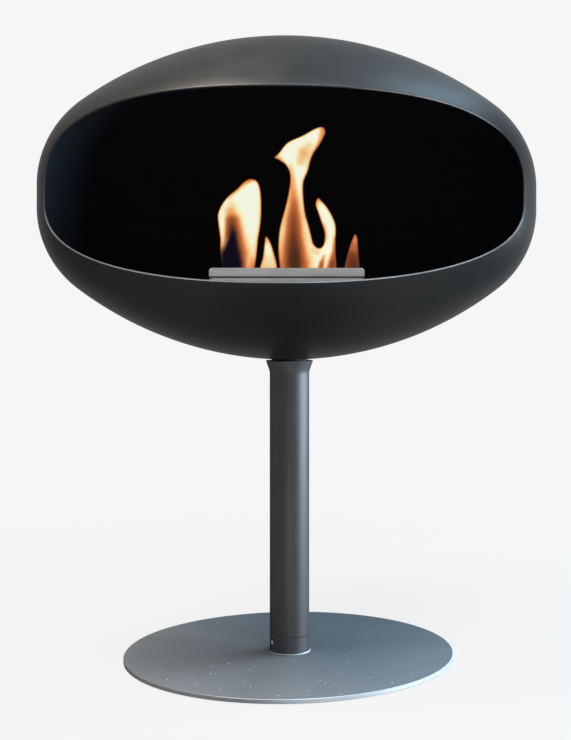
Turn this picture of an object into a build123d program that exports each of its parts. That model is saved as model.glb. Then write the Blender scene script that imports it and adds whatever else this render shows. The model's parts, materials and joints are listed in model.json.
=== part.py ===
from build123d import *
from math import asin, atan2, copysign, cos, degrees, pi, sin, sqrt
import os

# A bioethanol fireplace: a lens-shaped steel body with a wide window, turning on a pedestal,
# with a lift-out burner inside it that a sliding lid closes.
# Millimetres, +Z up. The origin is on the pole's axis, on the floor. The window faces -Y.

# How far a cutting solid runs past the face that it opens
cut_past = 1.0

# Floor ring and base plate
floor_ring_thickness = 1.0
floor_ring_width = 16.0
floor_ring_inset = 12.0
plate_diameter = 400.0
plate_thickness = 5.0
plate_edge_chamfer = 0.6

# Pole, the socket it stands in and the plug inside its foot
pole_diameter = 48.3
pole_wall = 3.0
pole_length = 314.6
pole_end_chamfer = 0.5
socket_height = 20.0
socket_wall = 5.15
socket_edge_chamfer = 0.6
seam_gap = 0.4
weld_size = 1.6
plug_depth_in_pole = 40.0
sliding_clearance = 0.1

# Screws: grub screws in the socket's wall, the bolt under the plate, the drives of all of them
grub_radius = 2.5
grub_height = 12.5
grub_recess = 0.3
grub_first_angle = -150.0
grub_turn = -90.0
grub_count = 2
foot_bolt_radius = 4.0
foot_bolt_length = 25.0
foot_bolt_head_radius = 8.0
foot_bolt_head_height = 4.2
head_recess = 0.2
screw_hole_clearance = 0.1
foot_bolt_hole_spare = 1.0
drive_radius_share = 0.62
drive_depth_share = 0.55

# Collar on top of the pole, which holds the swivel's bushes
collar_height = 20.0
collar_cone_height = 13.5
collar_flare = 4.85
collar_blend_radius = 20.0
collar_edge_chamfer = 0.5
collar_tail = 26.0
bush_wall = 3.0
bush_length = 14.0
bush_flange_thickness = 2.0
bush_flange_margin = 3.0
running_clearance = 0.05
end_float = 0.3

# Swivel: thrust washer, spindle, and the washer and nut that clamp the boss on it
thrust_washer_thickness = 2.0
thrust_washer_proud = 0.8
thrust_washer_width = 11.5
thrust_washer_clearance = 0.3
spindle_radius = 10.0
spindle_foot_thickness = 5.0
spindle_foot_margin = 1.2
spindle_shoulder = 2.0
spindle_thread_end = 2.0
nut_across_flats = 24.0
nut_height = 8.0
nut_washer_thickness = 3.0
nut_washer_radius = 15.0

# Body: two dished shells that meet at the equator, and the window cut through both
shadow_gap = 1.0
body_diameter = 600.0
body_height = 388.0
band_height = 26.0
knuckle_radius = 120.0
shell_wall = 2.0
window_side_margin = 29.0
window_line_drop = 11.0
window_rise = 108.0
window_rise_power = 3.2
window_fall = 94.5
window_fall_power = 2.3
window_steps = 48
seam_ring_height = 22.0
seam_ring_wall = 2.0
seam_ring_fit = 0.15
seam_ring_margin_angle = 7.5

# Boss inside the bowl
boss_spigot_radius = 21.9
boss_flange_radius = 48.0
boss_thickness = 12.2
shell_fit = 0.1

# Cradle that carries the burner
nut_air = 5.0
spacer_radius = 6.0
spacer_circle_radius = 38.0
spacer_count = 4
spacer_first_angle = 45.0
cradle_screw_radius = 2.0
cradle_screw_head_radius = 4.0
cradle_screw_head_height = 2.0
cradle_screw_grip = 5.5
cradle_hole_spare = 0.5
tray_sheet = 2.5
tray_rim_height = 16.0
tray_clearance = 1.5

# Burner: casing, tank with its filling, and the top with the fire slot
burner_height = 65.0
burner_front = 86.0
burner_rear_margin = 10.0
burner_sheet = 1.5
casing_inner_corner = 2.0
top_sheet = 2.0
top_skirt_height = 4.5
top_fit = 0.4
casing_lip_width = 4.0
tank_lip_clearance = 1.5
tank_sheet = 1.2
tank_inner_corner = 4.0
blanket_thickness = 4.0
filling_fit = 0.3
filling_below_top = 10.0
mesh_thickness = 1.0
mesh_hole_radius = 3.0
mesh_pitch = 8.0
mesh_margin = 4.0
slot_front = 10.0
slot_depth = 60.0
slot_side_cover = 8.0
slot_corner_radius = 4.0

# Sliding lid and its guide rails
lid_width = 180.0
lid_sheet = 1.5
lid_overlap = 6.0
lip_height = 12.0
lip_corner_radius = 4.0
lip_inner_bend = 1.0
rail_sheet = 1.2
rail_side_clearance = 0.4
rail_top_clearance = 0.5
rail_cover = 4.5
rail_end_clearance = 0.6
rail_rear_margin = 2.0

# Heights, from the floor up
plate_bottom = floor_ring_thickness
plate_top = plate_bottom + plate_thickness
socket_top = plate_top + socket_height
tube_bottom = socket_top + seam_gap
tube_top = tube_bottom + pole_length
collar_top = tube_top + collar_height
head_bottom = tube_top - collar_tail
thrust_top = collar_top + thrust_washer_proud
thrust_seat = thrust_top - thrust_washer_thickness
bowl_bottom = collar_top + shadow_gap
equator = bowl_bottom + body_height / 2
boss_top = thrust_top + boss_thickness
nut_bottom = boss_top + nut_washer_thickness
nut_top = nut_bottom + nut_height
thread_end = nut_top + spindle_thread_end
tray_bottom = thread_end + nut_air
tray_top = tray_bottom + tray_sheet
burner_top_level = tray_top + burner_height
tank_rim = burner_top_level - top_sheet
tank_bottom = tray_top + burner_sheet + blanket_thickness
filling_top = burner_top_level - filling_below_top

# Radii of the pole and the swivel
pole_radius = pole_diameter / 2
pole_bore = pole_radius - pole_wall
socket_bore = pole_radius - socket_wall
spigot_radius = socket_bore - sliding_clearance
plug_radius = pole_bore - sliding_clearance
thread_radius = spindle_radius - spindle_shoulder
bush_bore = spindle_radius + running_clearance
bush_radius = bush_bore + bush_wall
bush_flange_radius = pole_bore - bush_flange_margin
thrust_bore = spindle_radius + 2 * running_clearance
thrust_radius = thrust_bore + thrust_washer_width

# Body profile: a straight band, a knuckle arc and a crown arc, tangent to one another
body_radius = body_diameter / 2
dish_depth = (body_height - band_height) / 2
knuckle_centre = body_radius - knuckle_radius
crown_radius = (knuckle_centre**2 + dish_depth**2 - knuckle_radius**2) / (2 * (dish_depth - knuckle_radius))
tangent_angle = atan2(knuckle_centre, crown_radius - dish_depth)
window_half = body_radius - window_side_margin
seam_ring_front_angle = degrees(asin(window_half / body_radius)) + seam_ring_margin_angle

# Plan of the burner and the lid. The lid is drawn open, its lip flush with the burner's front.
lid_half = lid_width / 2
burner_half = lid_half + rail_side_clearance + rail_sheet
burner_rear = slot_front + slot_depth + lid_overlap + burner_rear_margin
burner_middle = (burner_rear - burner_front) / 2
burner_half_depth = (burner_rear + burner_front) / 2
slot_half = lid_half - slot_side_cover
slot_middle = slot_front + slot_depth / 2
lid_rear = slot_front - lid_overlap
lid_travel = slot_depth + 2 * lid_overlap
casing_inset = burner_sheet + top_fit
tank_inset = casing_inset + burner_sheet + casing_lip_width + tank_lip_clearance
filling_inset = tank_inset + tank_sheet + filling_fit
tray_inset = casing_inset - tray_clearance - tray_sheet

# Corner radii of the burner's boxes, each one's sheet outside the last
casing_corner = casing_inner_corner + burner_sheet
top_inner_corner = casing_corner + top_fit
top_corner = top_inner_corner + burner_sheet
tray_inner_corner = casing_corner + tray_clearance
tray_corner = tray_inner_corner + tray_sheet
tank_corner = tank_inner_corner + tank_sheet
filling_corner = tank_inner_corner - filling_fit


def turned(*points):
    """A turned piece, from its outline of (radius, height) points."""
    outline = Polyline(*[(radius, 0, height) for radius, height in points], close=True)
    return revolve(make_face(outline), Axis.Z)


def ring(outer, inner, bottom, top):
    """A round ring about the pole's axis."""
    return turned((inner, bottom), (outer, bottom), (outer, top), (inner, top))


def disc(radius, bottom, top):
    """A round disc about the pole's axis."""
    return ring(radius, 0, bottom, top)


def burner_block(inset, bottom, top, corner):
    """An upright block with rounded corners, this far inside the burner's plan."""
    plan = RectangleRounded(2 * (burner_half - inset), 2 * (burner_half_depth - inset), corner)
    return extrude(Plane.XY.offset(bottom) * Pos(0, burner_middle) * plan, amount=top - bottom)


def span_block(left, right, front, rear, bottom, top):
    """A plain block between two limits on each axis."""
    centre = Pos((left + right) / 2, (front + rear) / 2, (bottom + top) / 2)
    return centre * Box(right - left, rear - front, top - bottom)


def nearest_edge(shape, point, kind):
    """The edge of this kind, or along this axis, that passes nearest to a point."""
    return shape.edges().filter_by(kind).sort_by_distance(point)[0]


def countersunk_screw(radius, length, head_radius, head_height):
    """A countersunk screw with its flat head at the origin and its shank along +Z."""
    screw = turned((0, 0), (head_radius, 0), (radius, head_height), (radius, length), (0, length))
    drive = RegularPolygon(radius * drive_radius_share, 6)
    return screw - extrude(drive, amount=head_height * drive_depth_share)


def countersunk_hole(radius, length, head_radius, head_height):
    """The hole that such a screw goes into, open above its head."""
    wide = head_radius + screw_hole_clearance
    narrow = radius + screw_hole_clearance
    return turned((0, -head_recess), (wide, -head_recess), (wide, 0), (narrow, head_height),
                  (narrow, length), (0, length))


# Pedestal

def floor_ring():
    """The rubber ring under the plate's edge that keeps steel off the floor."""
    outer = plate_diameter / 2 - floor_ring_inset
    return ring(outer, outer - floor_ring_width, 0, plate_bottom)


def base_plate():
    edge = plate_diameter / 2
    plate = turned((0, plate_bottom), (edge - plate_edge_chamfer, plate_bottom),
                   (edge, plate_bottom + plate_edge_chamfer), (edge, plate_top - plate_edge_chamfer),
                   (edge - plate_edge_chamfer, plate_top), (0, plate_top))
    hole = countersunk_hole(foot_bolt_radius, foot_bolt_length, foot_bolt_head_radius, foot_bolt_head_height)
    return plate - Pos(0, 0, plate_bottom + head_recess) * hole


def foot_bolt():
    """The bolt that pulls the plug, and the pole with it, down on the plate."""
    bolt = countersunk_screw(foot_bolt_radius, foot_bolt_length, foot_bolt_head_radius, foot_bolt_head_height)
    return Pos(0, 0, plate_bottom + head_recess) * bolt


def grub_places():
    """Where each grub screw lies: +Z of the screw points outwards from the pole's axis."""
    at_height = Pos(0, 0, plate_top + grub_height)
    angles = [grub_first_angle + grub_turn * i for i in range(grub_count)]
    return [at_height * Rot(0, 0, angle) * Rot(0, 90, 0) for angle in angles]


def base_socket():
    """The short sleeve, as wide as the pole, that is welded on the plate round the plug's spigot."""
    socket = turned((socket_bore, plate_top), (pole_radius, plate_top),
                    (pole_radius, socket_top - socket_edge_chamfer),
                    (pole_radius - socket_edge_chamfer, socket_top), (socket_bore, socket_top))
    for place in grub_places():
        socket -= place * Cylinder(grub_radius + screw_hole_clearance, 2 * pole_radius,
                                   align=(Align.CENTER, Align.CENTER, Align.MIN))
    return socket


def foot_weld():
    """The bead in the corner between the socket and the plate."""
    return turned((pole_radius, plate_top), (pole_radius + weld_size, plate_top),
                  (pole_radius, plate_top + weld_size))


def socket_screws():
    """Grub screws that press on the spigot and stop the pole turning."""
    length = pole_radius - grub_recess - spigot_radius
    drive_depth = length * drive_depth_share
    screw = extrude(Circle(grub_radius), amount=length)
    drive = extrude(RegularPolygon(grub_radius * drive_radius_share, 6), amount=drive_depth)
    screw -= Pos(0, 0, length - drive_depth) * drive
    return Compound([place * Pos(0, 0, spigot_radius) * screw for place in grub_places()])


def foot_plug():
    """The plug welded in the pole's foot, with a spigot that stands in the socket."""
    plug_top = tube_bottom + plug_depth_in_pole
    body = turned((0, plate_top), (spigot_radius, plate_top), (spigot_radius, tube_bottom),
                  (plug_radius, tube_bottom), (plug_radius, plug_top), (0, plug_top))
    bolt_tip = plate_bottom + head_recess + foot_bolt_length
    return body - disc(foot_bolt_radius + screw_hole_clearance, plate_top - cut_past,
                       bolt_tip + foot_bolt_hole_spare)


def pole_tube():
    return turned((pole_bore, tube_bottom), (pole_radius - pole_end_chamfer, tube_bottom),
                  (pole_radius, tube_bottom + pole_end_chamfer), (pole_radius, tube_top),
                  (pole_bore, tube_top))


def pole_head():
    """The flared collar, with a tail that fills the pole's end and a bore for the bushes."""
    flared = pole_radius + collar_flare
    cone_bottom = collar_top - collar_cone_height
    washer_bore = thrust_radius + thrust_washer_clearance
    head = turned((bush_radius, head_bottom), (plug_radius, head_bottom), (plug_radius, tube_top),
                  (pole_radius, tube_top), (pole_radius, cone_bottom), (flared, collar_top),
                  (washer_bore, collar_top), (washer_bore, thrust_seat), (bush_radius, thrust_seat))
    head = fillet(nearest_edge(head, (pole_radius, 0, cone_bottom), GeomType.CIRCLE), collar_blend_radius)
    return chamfer(nearest_edge(head, (flared, 0, collar_top), GeomType.CIRCLE), collar_edge_chamfer)


def bush_lower():
    flange_bottom = head_bottom - bush_flange_thickness
    return turned((bush_bore, flange_bottom), (bush_flange_radius, flange_bottom),
                  (bush_flange_radius, head_bottom), (bush_radius, head_bottom),
                  (bush_radius, head_bottom + bush_length), (bush_bore, head_bottom + bush_length))


def bush_upper():
    return ring(bush_radius, bush_bore, thrust_seat - bush_length, thrust_seat)


def thrust_washer():
    """The washer in the collar's recess that the turning body rests on."""
    return ring(thrust_radius, thrust_bore, thrust_seat, thrust_top)


# Body that turns on the pedestal

def swivel_spindle():
    """The spindle that turns in the bushes. Its foot keeps the body from lifting off."""
    foot_top = head_bottom - bush_flange_thickness - end_float
    foot_bottom = foot_top - spindle_foot_thickness
    foot_radius = bush_flange_radius - spindle_foot_margin
    return turned((0, foot_bottom), (foot_radius, foot_bottom), (foot_radius, foot_top),
                  (spindle_radius, foot_top), (spindle_radius, thrust_top), (thread_radius, thrust_top),
                  (thread_radius, thread_end), (0, thread_end))


def spindle_washer():
    return ring(nut_washer_radius, thread_radius + screw_hole_clearance, boss_top, nut_bottom)


def spindle_nut():
    """The low hexagon nut inside the bowl, with its corners turned off at both ends."""
    corner = nut_across_flats / sqrt(3)
    corner_bevel = (corner - nut_across_flats / 2) / 2
    nut = Pos(0, 0, nut_bottom) * extrude(RegularPolygon(corner, 6), amount=nut_height)
    nut &= turned((0, nut_bottom), (corner - corner_bevel, nut_bottom), (corner, nut_bottom + corner_bevel),
                  (corner, nut_top - corner_bevel), (corner - corner_bevel, nut_top), (0, nut_top))
    return nut - disc(thread_radius + screw_hole_clearance, nut_bottom - cut_past, nut_top + cut_past)


def dish(inset):
    """The body below the equator as a solid, with its skin moved inwards by the inset."""
    knuckle_level = equator - band_height / 2
    crown_level = bowl_bottom + crown_radius
    side = body_radius - inset

    def on_knuckle(angle):
        reach = knuckle_radius - inset
        return (knuckle_centre + reach * sin(angle), 0, knuckle_level - reach * cos(angle))

    def on_crown(angle):
        reach = crown_radius - inset
        return (reach * sin(angle), 0, crown_level - reach * cos(angle))

    meeting = on_knuckle(tangent_angle)
    outline = [
        Line((0, 0, equator), (side, 0, equator)),
        Line((side, 0, equator), (side, 0, knuckle_level)),
        ThreePointArc((side, 0, knuckle_level), on_knuckle((tangent_angle + pi / 2) / 2), meeting),
        ThreePointArc(meeting, on_crown(tangent_angle / 2), on_crown(0)),
        Line(on_crown(0), (0, 0, equator)),
    ]
    return revolve(make_face(outline), Axis.Z)


def window_cut():
    """The window seen from the front: two halves of rounded oblongs, |x/a|^n + |z/b|^n = 1, the lower one rounder."""
    def on_outline(step):
        turn = 2 * pi * step / window_steps
        above = step <= window_steps / 2
        reach, power = (window_rise, window_rise_power) if above else (window_fall, window_fall_power)
        across = copysign(abs(cos(turn)) ** (2 / power), cos(turn))
        up = copysign(abs(sin(turn)) ** (2 / power), sin(turn))
        return (across * window_half, up * reach)

    outline = Spline(*[on_outline(step) for step in range(window_steps)], periodic=True)
    placed = Plane.XZ * Pos(0, equator - window_line_drop) * make_face(outline)
    return extrude(placed, amount=body_diameter)


def lower_shell():
    shell = dish(0) - dish(shell_wall) - window_cut()
    return shell - disc(boss_spigot_radius + shell_fit, bowl_bottom - cut_past, boss_top)


def upper_shell():
    whole = mirror(dish(0) - dish(shell_wall), about=Plane.XY.offset(equator))
    return whole - window_cut()


def seam_ring():
    """The strip inside the band that backs the joint between the shells, round the back and the sides."""
    outer = body_radius - shell_wall - seam_ring_fit
    inner = outer - seam_ring_wall
    low = equator - seam_ring_height / 2
    high = equator + seam_ring_height / 2
    outline = Polyline((inner, 0, low), (outer, 0, low), (outer, 0, high), (inner, 0, high), close=True)
    strip = revolve(make_face(outline), Axis.Z, revolution_arc=360 - 2 * seam_ring_front_angle)
    return Rot(0, 0, seam_ring_front_angle - 90) * strip


def spacer_places():
    return [Rot(0, 0, spacer_first_angle + i * 360 / spacer_count) * Pos(spacer_circle_radius, 0)
            for i in range(spacer_count)]


def bowl_boss():
    """The boss welded in the bowl: a flange that fits the crown and a spigot through its hole."""
    boss = disc(boss_flange_radius, bowl_bottom, boss_top) & dish(shell_wall + shell_fit)
    boss += disc(boss_spigot_radius, thrust_top, boss_top)
    boss -= disc(thread_radius + screw_hole_clearance, thrust_top - cut_past, boss_top + cut_past)
    hole_bottom = boss_top - cradle_screw_grip - cradle_hole_spare
    for place in spacer_places():
        boss -= place * disc(cradle_screw_radius + screw_hole_clearance, hole_bottom, boss_top + cut_past)
    return boss


def cradle_spacers():
    """Spacers that hold the cradle off the hot bowl and clear of the spindle's nut."""
    spacer = ring(spacer_radius, cradle_screw_radius + screw_hole_clearance, boss_top, tray_bottom)
    return Compound([place * spacer for place in spacer_places()])


def cradle_screw_places():
    """Where the cradle's screws lie: +Z of each screw points down from the tray's floor."""
    return [place * Pos(0, 0, tray_top - head_recess) * Rot(180, 0, 0) for place in spacer_places()]


def cradle_screw_sizes():
    length = tray_top - head_recess - boss_top + cradle_screw_grip
    return cradle_screw_radius, length, cradle_screw_head_radius, cradle_screw_head_height


def cradle_screws():
    screw = countersunk_screw(*cradle_screw_sizes())
    return Compound([place * screw for place in cradle_screw_places()])


def cradle_tray():
    """The tray with an upturned rim that the burner is set down in."""
    rim = tray_top + tray_rim_height
    tray = burner_block(tray_inset, tray_bottom, rim, tray_corner)
    tray -= burner_block(tray_inset + tray_sheet, tray_top, rim + cut_past, tray_inner_corner)
    for place in cradle_screw_places():
        tray -= place * countersunk_hole(*cradle_screw_sizes())
    return tray


# Burner, which lifts out of the cradle

def burner_casing():
    """The outer box, with a lip turned in at its rim that carries the top."""
    inner = casing_inset + burner_sheet
    casing = burner_block(casing_inset, tray_top, tank_rim, casing_corner)
    casing -= burner_block(inner, tray_top + burner_sheet, tank_rim - burner_sheet, casing_inner_corner)
    return casing - burner_block(inner + casing_lip_width, tray_top + burner_sheet, tank_rim + cut_past,
                                 casing_inner_corner)


def tank_blanket():
    """The ceramic mat between the casing's floor and the tank."""
    return burner_block(tank_inset, tray_top + burner_sheet, tank_bottom, tank_corner)


def fuel_tank():
    tank = burner_block(tank_inset, tank_bottom, tank_rim, tank_corner)
    return tank - burner_block(tank_inset + tank_sheet, tank_bottom + tank_sheet, tank_rim + cut_past,
                               tank_inner_corner)


def fibre_filling():
    """The ceramic wool that soaks up the fuel."""
    return burner_block(filling_inset, tank_bottom + tank_sheet, filling_top, filling_corner)


def mesh_screen():
    """The perforated sheet that holds the wool down, with its holes under the fire slot."""
    sheet = burner_block(filling_inset, filling_top, filling_top + mesh_thickness, filling_corner)
    columns = int(2 * (slot_half - mesh_margin) / mesh_pitch)
    rows = int((slot_depth - 2 * mesh_margin) / mesh_pitch)
    grid = GridLocations(mesh_pitch, mesh_pitch, columns, rows)
    holes = Sketch() + [place * Circle(mesh_hole_radius) for place in grid]
    holes = extrude(holes, amount=mesh_thickness + 2 * cut_past)
    return sheet - Pos(0, slot_middle, filling_top - cut_past) * holes


def burner_top():
    """The top, with its edges folded down over the casing and the slot that the fire stands in."""
    skirt_bottom = burner_top_level - top_skirt_height
    top = burner_block(0, skirt_bottom, burner_top_level, top_corner)
    top -= burner_block(burner_sheet, skirt_bottom - cut_past, tank_rim, top_inner_corner)
    slot = RectangleRounded(2 * slot_half, slot_depth, slot_corner_radius)
    slot = extrude(slot, amount=top_sheet + 2 * cut_past)
    return top - Pos(0, slot_middle, tank_rim - cut_past) * slot


def guide_rail(side):
    """One folded strip that guides the lid's edge. The lid's lip stops against its front end."""
    front = -burner_front + lid_sheet + lid_travel + rail_end_clearance
    rear = burner_rear - rail_rear_margin
    under = burner_top_level + lid_sheet + rail_top_clearance
    edge = side * burner_half
    wall = sorted((edge, edge - side * rail_sheet))
    cover = sorted((edge, side * (lid_half - rail_cover)))
    upright = span_block(*wall, front, rear, burner_top_level, under + rail_sheet)
    return upright + span_block(*cover, front, rear, under, under + rail_sheet)


def guide_rail_left():
    return guide_rail(-1)


def guide_rail_right():
    return guide_rail(1)


# Lid, which slides back over the slot

def snuffer_lid():
    """A folded sheet: a flat part that closes the slot, and an upright lip to push it by."""
    flat_top = burner_top_level + lid_sheet
    lip_top = burner_top_level + lip_height
    lip_back = -burner_front + lid_sheet
    outline = Polyline((0, -burner_front, burner_top_level), (0, lid_rear, burner_top_level),
                       (0, lid_rear, flat_top), (0, lip_back, flat_top), (0, lip_back, lip_top),
                       (0, -burner_front, lip_top), close=True)
    lid = extrude(make_face(outline), amount=lid_half, dir=(1, 0, 0), both=True)
    outer_bend = nearest_edge(lid, (0, -burner_front, burner_top_level), Axis.X)
    lid = fillet(outer_bend, lip_inner_bend + lid_sheet)
    lid = fillet(nearest_edge(lid, (0, lip_back, flat_top), Axis.X), lip_inner_bend)
    return fillet([nearest_edge(lid, (side, lip_back, lip_top), Axis.Y) for side in (-lid_half, lid_half)],
                  lip_corner_radius)


pieces = [
    floor_ring, base_plate, foot_bolt, base_socket, foot_weld, socket_screws, foot_plug, pole_tube, pole_head,
    bush_lower, bush_upper, thrust_washer,
    swivel_spindle, spindle_washer, spindle_nut, bowl_boss, lower_shell, upper_shell, seam_ring,
    cradle_spacers, cradle_tray, cradle_screws,
    burner_casing, tank_blanket, fuel_tank, fibre_filling, mesh_screen, burner_top,
    guide_rail_left, guide_rail_right,
    snuffer_lid,
]

os.makedirs("parts", exist_ok=True)
for piece in pieces:
    export_step(piece(), f"parts/{piece.__name__}.step")
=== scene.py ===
# %% [markdown]
# # A bioethanol fireplace on a pedestal
# The object is a lens-shaped steel body on a round pole and plate, with one wide window in its front.
# A small burner stands in it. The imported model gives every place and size, and this script adds the
# looks: a smooth spun body, a satin powder coat, brushed steel, ceramic wool, flames and a little dust.

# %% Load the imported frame
import json
import math

import bmesh
import bpy
import numpy as np
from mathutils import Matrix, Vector
from mathutils.geometry import delaunay_2d_cdt


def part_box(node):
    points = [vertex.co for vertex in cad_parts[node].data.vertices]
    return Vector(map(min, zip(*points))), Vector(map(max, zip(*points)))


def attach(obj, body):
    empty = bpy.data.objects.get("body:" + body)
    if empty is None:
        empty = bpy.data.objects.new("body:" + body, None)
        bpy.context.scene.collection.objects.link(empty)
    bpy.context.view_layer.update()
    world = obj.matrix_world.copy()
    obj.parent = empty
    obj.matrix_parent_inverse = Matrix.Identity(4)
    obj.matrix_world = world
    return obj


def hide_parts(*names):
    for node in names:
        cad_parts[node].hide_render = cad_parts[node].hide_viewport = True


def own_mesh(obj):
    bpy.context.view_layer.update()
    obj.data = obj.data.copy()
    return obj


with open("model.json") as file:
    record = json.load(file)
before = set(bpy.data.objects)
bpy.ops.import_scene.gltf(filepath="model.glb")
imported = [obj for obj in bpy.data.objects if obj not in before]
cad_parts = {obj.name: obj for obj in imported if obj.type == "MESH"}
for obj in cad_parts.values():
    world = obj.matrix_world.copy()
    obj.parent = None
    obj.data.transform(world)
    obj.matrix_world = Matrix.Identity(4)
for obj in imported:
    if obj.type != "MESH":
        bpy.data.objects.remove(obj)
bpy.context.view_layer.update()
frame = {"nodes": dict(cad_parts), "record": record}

MM = 0.001
nodes = frame["nodes"]


# %% [markdown]
# ## The camera
# The photograph was taken from about a metre and a half, level, with the lens as high as the burner: the
# bowl shows its outside, and the plate is seen from above. A level camera keeps the pole upright, so the
# picture is moved down by lens shift and not by tilting. The photograph is also cropped from the left part
# of a wider picture: the body's middle stands a few pixels left of the pole's, and the window's left half
# looks larger. So the camera looks past the object, and the shift brings it back.

# %% Place the camera
EYE_DISTANCE = 1.583
EYE_HEIGHT = 0.425
EYE_TURN = math.radians(2.05)
PHOTO_WIDTH, PHOTO_HEIGHT = 571, 740
FOCAL_PIXELS = 1289.5
HORIZON_ROW = 308
AXIS_COLUMN = 289.5
AIM_COLUMN = 369.5

camera_data = bpy.data.cameras.new("camera")
camera_data.sensor_width = 36
camera_data.lens = FOCAL_PIXELS / PHOTO_HEIGHT * camera_data.sensor_width
camera_data.shift_x = (PHOTO_WIDTH / 2 - AIM_COLUMN) / PHOTO_HEIGHT
camera_data.shift_y = (HORIZON_ROW - PHOTO_HEIGHT / 2) / PHOTO_HEIGHT
camera = bpy.data.objects.new("camera", camera_data)
camera.location = (EYE_DISTANCE * math.sin(EYE_TURN), -EYE_DISTANCE * math.cos(EYE_TURN), EYE_HEIGHT)
aside = math.atan2(AIM_COLUMN - AXIS_COLUMN, FOCAL_PIXELS)
camera.rotation_euler = (math.radians(90), 0, EYE_TURN - aside)
bpy.context.scene.collection.objects.link(camera)
bpy.context.scene.camera = camera
bpy.context.scene.view_settings.view_transform = "Standard"
print("lens", round(camera_data.lens, 1), "mm")
print("shift", round(camera_data.shift_x, 3), "and", round(camera_data.shift_y, 3))


# %% [markdown]
# ## Writing node trees
# Every material and every Geometry Nodes tree below is a set of nodes with links between them. It could
# be drawn by hand in the node editor. In a script, one helper places a node, sets its options and fills
# its inputs with numbers or links, and a small class lets sums be written as sums.

# %% Helpers for node trees
def source_of(value):
    """The socket to link from: itself, a field's own or a node's first output. A number has none."""
    if isinstance(value, bpy.types.Node):
        return value.outputs[0]
    value = value.socket if isinstance(value, Field) else value
    return value if isinstance(value, bpy.types.NodeSocket) else None


def place(tree, kind, inputs=None, **options):
    """Adds a node, and sets or links its inputs by their name or number."""
    node = tree.nodes.new(kind)
    for option, value in options.items():
        setattr(node, option, value)
    for socket, value in (inputs or {}).items():
        source = source_of(value)
        if source is None:
            node.inputs[socket].default_value = value
        else:
            tree.links.new(source, node.inputs[socket])
    return node


class Field:
    """A number that varies over a piece. Sums and products of fields become Math nodes."""

    def __init__(self, tree, socket):
        self.tree = tree
        self.socket = socket

    def math(self, operation, *others):
        inputs = dict(enumerate([self, *others]))
        return Field(self.tree, place(self.tree, "ShaderNodeMath", inputs, operation=operation).outputs[0])

    def __add__(self, other):
        return self.math("ADD", other)

    def __sub__(self, other):
        return self.math("SUBTRACT", other)

    def __mul__(self, other):
        return self.math("MULTIPLY", other)

    def __truediv__(self, other):
        return self.math("DIVIDE", other)

    def __pow__(self, other):
        return self.math("POWER", other)

    def root(self):
        return self.math("SQRT")

    def size(self):
        return self.math("ABSOLUTE")

    def step(self, low, high, low_value=0.0, high_value=1.0):
        """A soft step: low_value below low, high_value above high."""
        limits = {"Value": self, "From Min": low, "From Max": high, "To Min": low_value, "To Max": high_value}
        node = place(self.tree, "ShaderNodeMapRange", limits, interpolation_type="SMOOTHSTEP")
        return Field(self.tree, node.outputs["Result"])


def object_place(tree):
    """The Object coordinates: a point's place in metres, which doesn't change when the piece moves."""
    return place(tree, "ShaderNodeTexCoord").outputs["Object"]


def axes(tree, vector=None):
    """The x, y and z of a vector as three fields. Where none is named, it is the Object coordinates."""
    parts = place(tree, "ShaderNodeSeparateXYZ", {0: object_place(tree) if vector is None else vector})
    return [Field(tree, part) for part in parts.outputs]


def drawn_out(tree, factors):
    """The Object coordinates times a factor on each axis, which draws a pattern out along the small ones."""
    return place(tree, "ShaderNodeMapping", {"Vector": object_place(tree), "Scale": factors})


def noise(tree, scale, detail=2.0, roughness=0.5, where=None):
    """A cloudy pattern from 0 to 1. The scale is in waves to the metre."""
    made = place(tree, "ShaderNodeTexNoise", {
        "Vector": object_place(tree) if where is None else where,
        "Scale": scale, "Detail": detail, "Roughness": roughness})
    return Field(tree, made.outputs["Fac"])


def mix_colours(tree, share, first, second):
    """The first colour where share is 0, and the second where it is 1. A plain one is red, green and blue."""
    first, second = ((*colour, 1) if isinstance(colour, tuple) else colour for colour in (first, second))
    return place(tree, "ShaderNodeMix", {0: share, 6: first, 7: second}, data_type="RGBA").outputs[2]


def bump(tree, height, depth, strength):
    """A Bump node for a height from 0 to 1 that stands for a relief of that depth in metres."""
    return place(tree, "ShaderNodeBump", {"Height": height, "Distance": depth, "Strength": strength})


# %% [markdown]
# ## The studio
# The photograph's background is a plain pale grey with no horizon. Here the world is that grey for what
# the camera, a gloss or glass sees, and a dimmer grey where it lights the object. The floor is a wide
# disc that catches the shadow and fades out before its edge, so that no line shows behind the object.

# %% Background and floor
PALE = (0.921, 0.921, 0.921, 1)
FLOOR_RADIUS = 3.0
FADE_STARTS = 0.35
FADE_ENDS = 1.3


def seen_directly(tree):
    """1 where the camera, a gloss or glass looks, and 0 where light is only gathered."""
    path = place(tree, "ShaderNodeLightPath")
    seen = Field(tree, path.outputs["Is Camera Ray"]).math("MAXIMUM", path.outputs["Is Glossy Ray"])
    return seen.math("MAXIMUM", path.outputs["Is Transmission Ray"])


def make_world():
    """The pale room behind and around the object."""
    world = bpy.data.worlds.new("pale_room")
    world.use_nodes = True
    tree = world.node_tree
    tree.nodes.clear()
    lighting = place(tree, "ShaderNodeBackground", {"Color": (0.88, 0.90, 0.92, 1), "Strength": 0.15})
    shown = place(tree, "ShaderNodeBackground", {"Color": PALE, "Strength": 1.0})
    both = place(tree, "ShaderNodeMixShader", {0: seen_directly(tree), 1: lighting, 2: shown})
    place(tree, "ShaderNodeOutputWorld", {0: both})
    bpy.context.scene.world = world


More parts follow.
